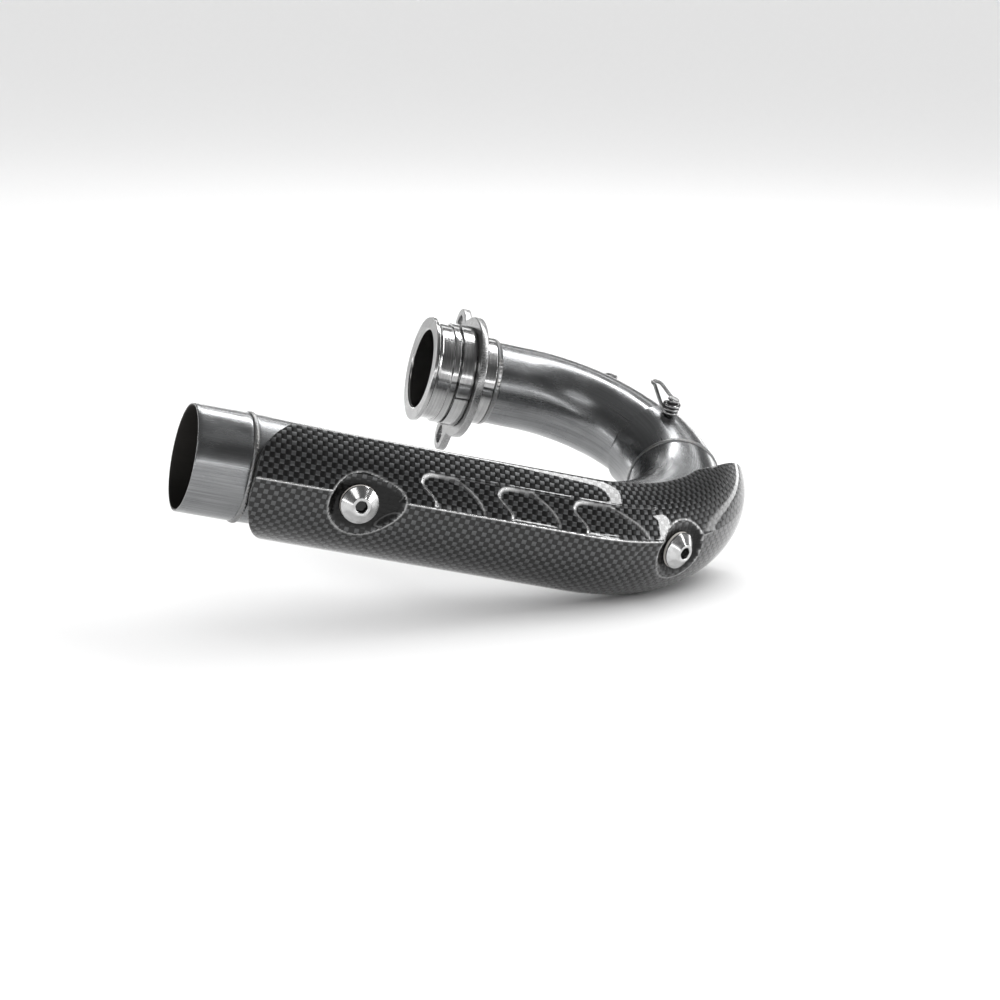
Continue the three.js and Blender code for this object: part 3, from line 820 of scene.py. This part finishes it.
def pipes():
    """The front tube, then the rear sections, which stop half a gap short of each weld."""
    front_end = SLEEVE_MOUTH + SLIP_OVERLAP
    start = SPIGOT_END + GAP
    front = pipe("front_header_pipe_skin", start, front_end, FRONT_PIPE, FRONT_PIPE, FRONT_WALL)
    dress(front, "front_header", "pipe_steel", "front_header_tube")
    sections = [
        ("slip_sleeve", REAR_PIPE, REAR_PIPE),
        ("bend_tube", REAR_PIPE, REAR_PIPE),
        ("rear_leg_tube", REAR_PIPE, REAR_PIPE),
        ("expansion_cone", REAR_PIPE, OUTLET_PIPE),
        ("outlet_tube", OUTLET_PIPE, OUTLET_PIPE),
    ]
    welds = WELDS[1:]
    starts = [SLEEVE_MOUTH] + [weld + GAP / 2 for weld in welds]
    ends = [weld - GAP / 2 for weld in welds] + [OUTLET_END]
    for (node, outer_start, outer_end), start, end in zip(sections, starts, ends):
        name = node.replace("tube", "pipe") + "_skin"
        piece = pipe(name, start, end, outer_start, outer_end, REAR_WALL)
        dress(piece, "rear_header", "pipe_steel", node)
    beads = [
        ("sleeve_weld_bead", SLEEVE_WELD, REAR_PIPE),
        ("bend_weld_bead", BEND_WELD, REAR_PIPE),
        ("cone_front_weld_bead", CONE_START, REAR_PIPE),
        ("cone_rear_weld_bead", CONE_END, OUTLET_PIPE),
    ]
    for node, distance, radius in beads:
        bead = weld_bead(node.replace("weld_bead", "ripples"), distance, radius + 0.1 * MM)
        dress(bead, "rear_header", "weld_metal", node)


# ---- spring, post and hooks ----


def spring_hook(name, node, body, spot, pipe_radius):
    """A bent wire hook: its foot lies along the pipe, and its tip stands clear of it."""
    foot = pipe_radius + GAP + HOOK_WIRE
    points = [Vector((along * MM, 0, foot + rise * MM)) for along, rise in HOOK_ROUTE]
    dress(wire(name, points, HOOK_WIRE, seat(*spot)), body, "spring_steel", node)


def spring_post():
    head_bottom, head_top = (REAR_PIPE + height for height in POST_HEAD)
    foot = REAR_PIPE + 0.1 * MM
    corners = [
        (foot, AXIS_HOLE),
        *((foot + height, POST_RADIUS + reach) for height, reach in POST_FILLET),
        (head_bottom, POST_RADIUS),
        (head_bottom, POST_HEAD_RADIUS),
        (head_top, POST_HEAD_RADIUS - 0.3 * MM),
        (head_top, AXIS_HOLE),
    ]
    outline = rounded(corners, 0.25 * MM, closed=False)
    axes = seat(POST_STATION, POST_ANGLE)
    piece = turned("spring_pin", outline, in_seat(axes), sides=48, caps=True)
    dress(flat_faces_flat(piece), "rear_header", "spring_steel", "spring_post")


def retaining_spring():
    """One wire: down one leg from the loop's end, round the coil, up the other leg and over."""
    base = REAR_PIPE + COIL_BASE
    top = base + COIL_PITCH * COIL_TURNS
    loop_top = REAR_PIPE + LOOP_TOP
    bend = LOOP_LENGTH - LOOP_HALF_WIDTH
    leg_width = (COIL_RADIUS + LOOP_HALF_WIDTH) / 2
    points = [
        Vector((-bend, -LOOP_HALF_WIDTH, loop_top)),
        Vector((-bend / 2, -leg_width, mix(base, loop_top, LEG_RISE))),
    ]
    for index in range(int(COIL_TURNS * COIL_POINTS) + 1):
        angle = TURN * (index / COIL_POINTS - 0.25)
        height = base + COIL_PITCH * index / COIL_POINTS
        points.append(Vector((*polar(COIL_RADIUS, angle), height)))
    points.append(Vector((-bend / 2, leg_width, mix(top, loop_top, LEG_RISE))))
    for angle in spaced(0, TURN / 2 - LOOP_OPENING, TURN / 10):
        along = bend + LOOP_HALF_WIDTH * math.sin(angle)
        points.append(Vector((-along, LOOP_HALF_WIDTH * math.cos(angle), loop_top)))
    axes = seat(POST_STATION, POST_ANGLE) @ Matrix.Rotation(LOOP_HEADING, 4, "Z")
    piece = wire("spring_wire", points, SPRING_WIRE, axes)
    dress(piece, "joint_spring", "spring_steel", "retaining_spring")


# ---- heat shield ----

RIDGE_HEIGHT = 0.38 * MM
RIDGE_WIDTH = 0.5 * MM
CREASE_START = SHIELD_FRONT + 42 * MM
CREASE_EASE = 20 * MM

# how wide the painted highlights are, and how light beside the crease and the gills' rear edges
HIGHLIGHT_ON_CREASE = 0.34 * MM
HIGHLIGHT_ON_GILL = 0.48 * MM
RIM_HIGHLIGHT = 0.6
TOP_HIGHLIGHT = 0.35
FRONT_HIGHLIGHT = 0.4
TOP_FADE = (4 * MM, 6 * MM)

GILL_COUNT = 3
GILL_PITCH = 34.3 * MM
GILL_DEPTH = 0.95 * MM
GILL_LIP = 0.42 * MM
GILL_LOW = math.radians(23.4)
GILL_HIGH = math.radians(50.5)
GILL_REAR = (316.6 * MM, 324 * MM)
GILL_FRONT = (294.7 * MM, 309.5 * MM)
GILL_SWEEP = 1.8
GILL_SLANT = 0.8
GILL_WALL = 1.1 * MM
GILL_CORNER = 5 * MM
FOOT_CORNER = 2 * MM
LIP_OFFSET = 0.7 * MM
LIP_WIDTH = 0.6 * MM
GILL_AHEAD = 4 * MM
GILL_BEHIND = 14 * MM

FOLD_LEAN = 14.7 * MM
FOLD_SLANT = 0.88
FOLD_HEIGHT = 0.5 * MM
FOLD_STEP = 0.9 * MM
FOLD_LENGTH = 18 * MM
GROOVE_DEPTH = 0.2 * MM
GROOVE_WIDTH = 0.6 * MM
FOLD_START = math.radians(4)
FOLD_END = math.radians(62)

SEATS = {end: seat(*spot) for end, spot in SCREWS.items()}
DISH_FLOOR = 9.4 * MM
DISH_NEARBY = 22 * MM
RIM_FADE = 1.5 * MM
# depth into a recess at which its painted shade is full
HOLLOW_DEPTH = 1.2 * MM
TAIL_REACH = 6 * MM
TAIL_ANGLE = math.radians(163)


def section_radius(distance, angle):
    """The shield's section: round and flared at the front, then with two flats and a crease."""
    flat = math.acos(SHIELD_RADIUS / CREASE_RADIUS)
    creased = SHIELD_RADIUS / math.cos(max(flat - abs(angle - CREASE_ANGLE), 0))
    flared = SHIELD_RADIUS + FLARE * bell(angle - FLARE_ANGLE, FLARE_SPREAD)
    return mix(flared, creased, smoothstep((distance - FLARE_FRONT) / (FLARE_END - FLARE_FRONT)))


def front_edge(angle):
    lean = abs(angle - SHIELD_MIDDLE) / (SHIELD_HIGH - SHIELD_MIDDLE)
    return SHIELD_FRONT + FRONT_SWEEP * lean**3


def rear_edge(angle):
    above = (angle - REAR_CROWN) / (SHIELD_HIGH - REAR_CROWN)
    below = (angle - REAR_CROWN) / (SHIELD_LOW - REAR_CROWN)
    return SHIELD_REAR - (REAR_SWEEP_HIGH * above**3 if above > 0 else REAR_SWEEP_LOW * below**1.8)


def dish_rim(bearing, has_tail):
    """The recess's rim radius: round, drawn out into a tail along the crease at the rear screw."""
    if not has_tail:
        return DISH_RADIUS
    off = (bearing - TAIL_ANGLE + TURN / 2) % TURN - TURN / 2
    return DISH_RADIUS + TAIL_REACH * bell(off, math.radians(38 if off > 0 else 27))


def dish_depth(distance, angle, radius):
    """How far the skin sinks into the recess round a screw, and how much of the ridge is left."""
    for end, axes in SEATS.items():
        if abs(distance - SCREWS[end][0]) > DISH_NEARBY:
            continue
        x, y, z = axes.inverted() @ on_pipe(distance, angle, radius)
        rim = dish_rim(math.atan2(-y, x), end == "rear")
        inside = rim - math.hypot(x, y)
        if inside <= 0:
            return 0, smoothstep(-inside / RIM_FADE)
        fall = min(inside / (rim - DISH_FLOOR), 1)
        return (z - SEAT_OUTER) * (1 - (1 - fall) ** 2), 0
    return 0, 1


def gills(distance, angle):
    """For each gill nearby: the station on its own pattern, and how far inside its edges."""
    rise = (angle - GILL_LOW) / (GILL_HIGH - GILL_LOW)
    to_top = (GILL_HIGH - angle) * SHIELD_RADIUS
    to_crease = (angle - GILL_LOW) * SHIELD_RADIUS
    for index in range(GILL_COUNT):
        along = distance + index * GILL_PITCH
        if GILL_FRONT[0] - GILL_AHEAD < along < GILL_REAR[1] + GILL_BEHIND:
            to_rear = mix(*GILL_REAR, smoothstep((rise - 0.1) / 0.65)) - along
            to_front = (along - mix(*GILL_FRONT, max(rise, 0) ** GILL_SWEEP)) * GILL_SLANT
            yield along, to_rear, to_front, to_top, to_crease


def gill_relief(distance, angle):
    """The step down into a gill, its rolled lip, and the fold that runs on below the crease."""
    relief = 0
    for along, to_rear, to_front, to_top, to_crease in gills(distance, angle):
        inside = smooth_min(smooth_min(to_rear, to_front, FOOT_CORNER), to_top, GILL_CORNER)
        inside = min(inside, to_crease)
        relief -= GILL_DEPTH * smoothstep(inside / GILL_WALL)
        if to_crease > 0 and to_top > -2 * MM:
            edge = smooth_min(to_rear, to_top, GILL_CORNER)
            lip = bell(edge + LIP_OFFSET, LIP_WIDTH)
            relief += GILL_LIP * lip * smoothstep(to_crease / FOOT_CORNER)
        relief += fold_relief(along, CREASE_ANGLE - angle)
    return relief


def painted_highlight(distance, angle):
    """How much painted highlight lightens the skin along the crease, the gills' edges and the recess
    rims.
    """
    sunk, ridge_left = dish_depth(distance, angle, section_radius(distance, angle))
    if sunk:
        return 0
    bead = bell((angle - CREASE_ANGLE) * CREASE_RADIUS, HIGHLIGHT_ON_CREASE)
    bead *= ridge_left * crease_fade(distance)
    bead = max(bead, RIM_HIGHLIGHT * (1 - ridge_left) ** 3)
    for _, to_rear, to_front, to_top, to_crease in gills(distance, angle):
        if to_crease < 0 or to_front < -1 * MM:
            continue
        edge = smooth_min(to_rear, to_top, GILL_CORNER)
        fade = mix(1, TOP_HIGHLIGHT, smoothstep((to_rear - TOP_FADE[0]) / TOP_FADE[1]))
        bead = max(bead, fade * bell(edge - 0.2 * MM, HIGHLIGHT_ON_GILL))
        if edge > 0:
            bead = max(bead, FRONT_HIGHLIGHT * bell(to_front, HIGHLIGHT_ON_CREASE))
    return bead


def crease_fade(distance):
    """The crease dies out at the front, short of the shield's edge."""
    return smoothstep((distance - CREASE_START) / CREASE_EASE)


def fold_relief(along, below):
    """A groove that leans back from a gill's foot and fades, with the scale behind it raised."""
    if below < 0:
        return 0
    behind = (along - GILL_FRONT[0] - below * FOLD_LEAN) * FOLD_SLANT
    fade = 1 - smoothstep(below / FOLD_END)
    start = smoothstep(below / FOLD_START)
    scale = FOLD_HEIGHT * smoothstep(behind / FOLD_STEP) * (1 - smoothstep(behind / FOLD_LENGTH))
    return (scale - GROOVE_DEPTH * bell(behind, GROOVE_WIDTH)) * fade * start


def skin_radius(distance, angle):
    """The outer skin of the shield, with its crease, gills, folds and recesses."""
    plain = section_radius(distance, angle)
    sunk, ridge_left = dish_depth(distance, angle, plain)
    if sunk:
        return plain - sunk
    arc = (angle - CREASE_ANGLE) * CREASE_RADIUS
    ridge = RIDGE_HEIGHT * bell(arc, RIDGE_WIDTH) * ridge_left * crease_fade(distance)
    return plain + ridge + gill_relief(distance, angle)


def wrapped_length(distance):
    """Length along the shield's outside, which the bend stretches."""
    in_bend = min(distance, BEND_END) - FRONT_LEG
    return distance + in_bend * SHIELD_RADIUS / BEND_RADIUS


def shield_angles():
    """The mesh's rows: fine over the pressed detail and finest at the crease."""
    near = math.radians(0.3)
    crease_start, crease_end = CREASE_ANGLE - 4 * near, CREASE_ANGLE + 4 * near
    stops = [
        (SHIELD_LOW + SHIELD_EASE / SHIELD_RADIUS, math.radians(2)),
        (math.radians(-36), math.radians(0.9)),
        (crease_start, near),
        (crease_end, math.radians(0.8)),
        (math.radians(54), math.radians(2)),
        (SHIELD_HIGH - SHIELD_EASE / SHIELD_RADIUS, 0),
    ]
    angles = [stops[0][0]]
    for (start, step), (end, _) in zip(stops, stops[1:]):
        angles += spaced(start, end, step)[1:]
    return angles


def rolled(places):
    """Places across the skin as (place, outward, drop), rolling over the cut edge at both ends."""
    turns = [TURN / 2 * step / 6 for step in range(1, 7)]
    border = [(SHIELD_EASE * math.sin(turn), SHIELD_EASE * (1 - math.cos(turn))) for turn in turns]
    first = [(places[0], -outward, drop) for outward, drop in reversed(border)]
    last = [(places[-1], outward, drop) for outward, drop in border]
    return first + [(place, 0, 0) for place in places] + last


def shield_skin():
    """The outer skin, whose border rolls over the laminate's cut edge and in under it."""
    rings = []
    lay = []
    edge = []
    painted_recess_shade = []
    bead = []
    columns = rolled(spaced(0, 1, 1 / 480))
    for base_angle, outward, drop in rolled(shield_angles()):
        angle = base_angle + outward / SHIELD_RADIUS
        rear = rear_edge(base_angle) - SHIELD_EASE
        front = front_edge(base_angle) + SHIELD_EASE
        ring = []
        for column, ahead, fall in columns:
            distance = mix(rear, front, column)
            sunk = max(drop, fall)
            radius = skin_radius(distance, base_angle) - sunk
            ring.append(on_pipe(distance - ahead, angle, radius))
            lay.append((wrapped_length(distance - ahead), angle * SHIELD_RADIUS, -sunk))
            # lightening of the rolled cut edge, partly its own tone and partly a painted highlight
            edge.append(smoothstep(sunk / SHIELD_EASE))
            plain = section_radius(distance, base_angle)
            # painted highlight along the crease, the gills' edges and the recess rims
            bead.append(0 if sunk else painted_highlight(distance, base_angle))
            # painted shade in the recesses round the screws
            painted_recess_shade.append(smoothstep(dish_depth(distance, base_angle, plain)[0] / HOLLOW_DEPTH))
        rings.append(ring)
    traits = {"edge": edge, "painted_recess_shade": painted_recess_shade, "bead": bead}
    return surface("shield_skin", rings, lay, wrap_rings=False, wrap_points=False, traits=traits)


def shield_lining():
    """The rough side of the laminate, inside the rolled border."""
    rings = []
    lay = []
    inset = 0.3 * MM
    margin = inset / SHIELD_RADIUS
    for angle in spaced(SHIELD_LOW + margin, SHIELD_HIGH - margin, math.radians(2)):
        ring = []
        for column in spaced(0, 1, 1 / 140):
            distance = mix(rear_edge(angle) - inset, front_edge(angle) + inset, column)
            plain = section_radius(distance, angle)
            radius = plain - dish_depth(distance, angle, plain)[0] - SHIELD_THICKNESS + 0.1 * MM
            ring.append(on_pipe(distance, angle, radius))
            lay.append((wrapped_length(distance), angle * SHIELD_RADIUS, 0))
        rings.append(ring)
    return surface("shield_lining", rings, lay, wrap_rings=False, wrap_points=False)


# ---- shield fastenings ----


def bung(end, axes):
    """A threaded boss through the pipe wall."""
    foot = REAR_PIPE - 1 * MM
    thread = SHANK_RADIUS + 0.1 * MM
    corners = [(foot, thread), (foot, BUNG_RADIUS), (BUNG_TOP, BUNG_RADIUS), (BUNG_TOP, thread)]
    piece = turned(f"{end}_boss", rounded(corners, 0.3 * MM), in_seat(axes), sides=64)
    dress(flat_faces_flat(piece), "rear_header", "machined_steel", f"{end}_shield_bung")


def bung_bead(end, axes, pipe_radius):
    """A fillet of weld metal where the boss meets the pipe."""
    ripples = 24

    def spot(height, angle, radius):
        place = axes @ Vector((*polar(radius, angle), 0))
        centre = axes.translation
        tangent = axes.col[0].to_3d()
        across = place - centre
        across -= tangent * across.dot(tangent)
        lift = math.sqrt(max(pipe_radius**2 - across.length_squared, 0))
        return place + axes.col[2].to_3d() * (lift + height)

    def relief(height, angle, radius):
        phase = (angle * ripples / TURN) % 1
        return (0.25 * phase - 0.12) * MM if height > 0 else 0

    corners = [
        (-0.4 * MM, BUNG_RADIUS - 0.2 * MM),
        (-0.4 * MM, BUNG_RADIUS + 2 * MM),
        (0.3 * MM, BUNG_RADIUS + 1.7 * MM),
        (1.1 * MM, BUNG_RADIUS + 0.6 * MM),
        (1.2 * MM, BUNG_RADIUS - 0.2 * MM),
    ]
    outline = rounded(corners, 0.5 * MM)
    piece = turned(f"{end}_boss_fillet", outline, spot, sides=8 * ripples, relief=relief)
    dress(piece, "rear_header", "weld_metal", f"{end}_bung_weld_bead")


def spacer(end, axes, name, radius, heights):
    """An insulating washer with eased edges."""
    bottom, top = heights
    bore = SHANK_RADIUS + GAP
    corners = [(bottom, bore), (bottom, radius), (top, radius), (top, bore)]
    piece = turned(f"{end}_{name}_ring", rounded(corners, 0.15 * MM), in_seat(axes), sides=96)
    dress(flat_faces_flat(piece), "rear_header", "insulating_board", f"{end}_{name}_washer")


def hex_reach(angle):
    """The socket's outline: the radius of a hexagon at that angle."""
    within = angle % (TURN / 6) - TURN / 12
    return HEX_RADIUS * math.cos(TURN / 12) / math.cos(within)


def shield_screw(end, axes):
    """A conical head with a hexagon socket, drawn down on its washers."""
    flank = [
        (SHANK_END, 0.02 * MM),
        (SHANK_END, SHANK_RADIUS - 0.4 * MM),
        (SHANK_END + 0.4 * MM, SHANK_RADIUS),
        (HEAD_BOTTOM, SHANK_RADIUS),
        (HEAD_BOTTOM, HEAD_RADIUS),
        (HEAD_BOTTOM + 0.7 * MM, HEAD_RADIUS),
        (HEAD_TOP - 0.3 * MM, HEAD_CROWN + 0.3 * MM),
        (HEAD_TOP, HEAD_CROWN),
        (HEAD_TOP, HEX_RADIUS + 0.5 * MM),
    ]
    outline = [tuple(place) for place in rounded(flank, 0.4 * MM, steps=5, closed=False)]
    rim = len(outline)
    floor = HEAD_TOP - HEX_DEPTH
    outline += [
        (HEAD_TOP - 0.1 * MM, HEX_RADIUS),
        (HEAD_TOP - 0.35 * MM, HEX_RADIUS - 0.01 * MM),
        (floor, HEX_RADIUS - 0.02 * MM),
        (floor, 0.8 * HEX_RADIUS),
        (floor - 0.5 * MM, 0.02 * MM),
    ]
    hexed = outline[rim + 1:rim + 3]

    def relief(height, angle, radius):
        return hex_reach(angle) - HEX_RADIUS if (height, radius) in hexed else 0

    bore = HEX_RADIUS - 0.005 * MM
    piece = turned(f"{end}_cone_screw", outline, in_seat(axes), 144, relief, bore, caps=True)
    dress(flat_faces_flat(piece), "rear_header", "screw_metal", f"{end}_shield_screw")


def shield_parts():
    dress(shield_skin(), "rear_header", "carbon_laminate", "heat_shield")
    dress(shield_lining(), "rear_header", "carbon_laminate", material=laminate_lining())
    cone_slope = (OUTLET_PIPE - REAR_PIPE) / (CONE_END - CONE_START)
    widening = cone_slope * (SCREWS["rear"][0] - CONE_START)
    for end, axes in SEATS.items():
        bung(end, axes)
        bung_bead(end, axes, REAR_PIPE + (widening if end == "rear" else 0))
        spacer(end, axes, "inner", BUNG_RADIUS, INNER_WASHER)
        spacer(end, axes, "outer", HEAD_RADIUS, OUTER_WASHER)
        shield_screw(end, axes)


# ---- the object ----

port_spigot()
collar_half("upper_collar", "collar_half_upper", 0)
collar_half("lower_collar", "collar_half_lower", TURN / 2)
port_flange()
pipes()
spring_hook("front_hook", "front_spring_hook", "front_header", FRONT_HOOK, FRONT_PIPE)
spring_hook("outlet_hook", "outlet_spring_hook", "rear_header", OUTLET_HOOK, OUTLET_PIPE)
spring_post()
retaining_spring()
shield_parts()

# ---- floor, camera and light ----

CAMERA_AZIMUTH = math.radians(-14.5)
CAMERA_ELEVATION = math.radians(12)
CAMERA_DISTANCE = 1.5
CAMERA_LENS = 116.6
AIM_RIGHT = 36.8 * MM
AIM_UP = -61.1 * MM
FLOOR_HALF = 15

# what polished metal sees, from the horizon at 0 to straight overhead at 1
ROOM_BANDS = (
    (0.0, 0.55),
    (0.02, 0.55),
    (0.035, 4.5),
    (0.08, 4.5),
    (0.11, 0.45),
    (0.26, 0.24),
    (0.6, 0.1),
    (1.0, 0.22),
)
ROOM_LIGHT = 0.92

# each light's name, place, width, height and power; all face the middle of the part
MIDDLE = (0.02, -0.06, -0.03)
LIGHTS = (
    ("rim_strip", (0.66, 0.18, 0.98), 2.2, 0.1, 11),
    ("back_strip", (0.65, 1.07, 0.72), 1.4, 0.12, 1.6),
    ("front_key", (-0.35, -1.1, 0.85), 0.5, 0.4, 1.6),
    ("right_window", (1.18, -0.6, 0.24), 0.14, 0.36, 3),
)


def pale_floor():
    shape = bmesh.new()
    bmesh.ops.create_grid(shape, x_segments=1, y_segments=1, size=FLOOR_HALF)
    mesh = bpy.data.meshes.new("floor")
    shape.to_mesh(mesh)
    shape.free()
    floor = add_object("floor", mesh)
    floor.location.z = cad_box[0][2] - 0.2 * MM
    mesh.materials.append(floor_paper())


def camera():
    turn, rise = CAMERA_AZIMUTH, CAMERA_ELEVATION
    back = Vector((math.sin(turn) * math.cos(rise), -math.cos(turn) * math.cos(rise), math.sin(rise)))
    right = Vector((math.cos(turn), math.sin(turn), 0))
    up = back.cross(right)
    place = right * AIM_RIGHT + up * AIM_UP + back * CAMERA_DISTANCE
    view = add_object("camera", bpy.data.cameras.new("camera"))
    view.data.lens = CAMERA_LENS
    view.data.clip_start = 0.1
    view.matrix_world = Matrix.Translation(place) @ Matrix((right, up, back)).transposed().to_4x4()
    bpy.context.scene.camera = view


def softbox(name, place, width, height, power):
    light = bpy.data.lights.new(name, "AREA")
    light.shape = "RECTANGLE"
    light.size = width
    light.size_y = height
    light.energy = power
    box = add_object(name, light)
    box.location = place
    box.rotation_euler = (Vector(place) - Vector(MIDDLE)).to_track_quat("Z", "Y").to_euler()


def studio():
    """A plain pale room for the floor; metal sees it bright at the horizon and dark above."""
    world = bpy.data.worlds.new("studio")
    world.use_nodes = True
    bpy.context.scene.world = world
    tree = world.node_tree
    add = tree.nodes.new
    direction = add("ShaderNodeTexCoord")
    split = add("ShaderNodeSeparateXYZ")
    ramp = add("ShaderNodeValToRGB")
    rays = add("ShaderNodeLightPath")
    choice = add("ShaderNodeMix")
    choice.data_type = "RGBA"
    choice.inputs[6].default_value = grey(ROOM_LIGHT)
    tree.links.new(direction.outputs["Generated"], split.inputs[0])
    tree.links.new(split.outputs["Z"], ramp.inputs[0])
    tree.links.new(rays.outputs["Is Glossy Ray"], choice.inputs[0])
    tree.links.new(ramp.outputs["Color"], choice.inputs[7])
    tree.links.new(choice.outputs[2], tree.nodes["Background"].inputs["Color"])
    bands = ramp.color_ramp.elements
    for element, (height, level) in zip(bands, (ROOM_BANDS[0], ROOM_BANDS[-1])):
        element.position = height
        element.color = grey(level)
    for height, level in ROOM_BANDS[1:-1]:
        bands.new(height).color = grey(level)


pale_floor()
camera()
studio()
for light in LIGHTS:
    softbox(*light)
bpy.context.scene.view_settings.view_transform = "Standard"
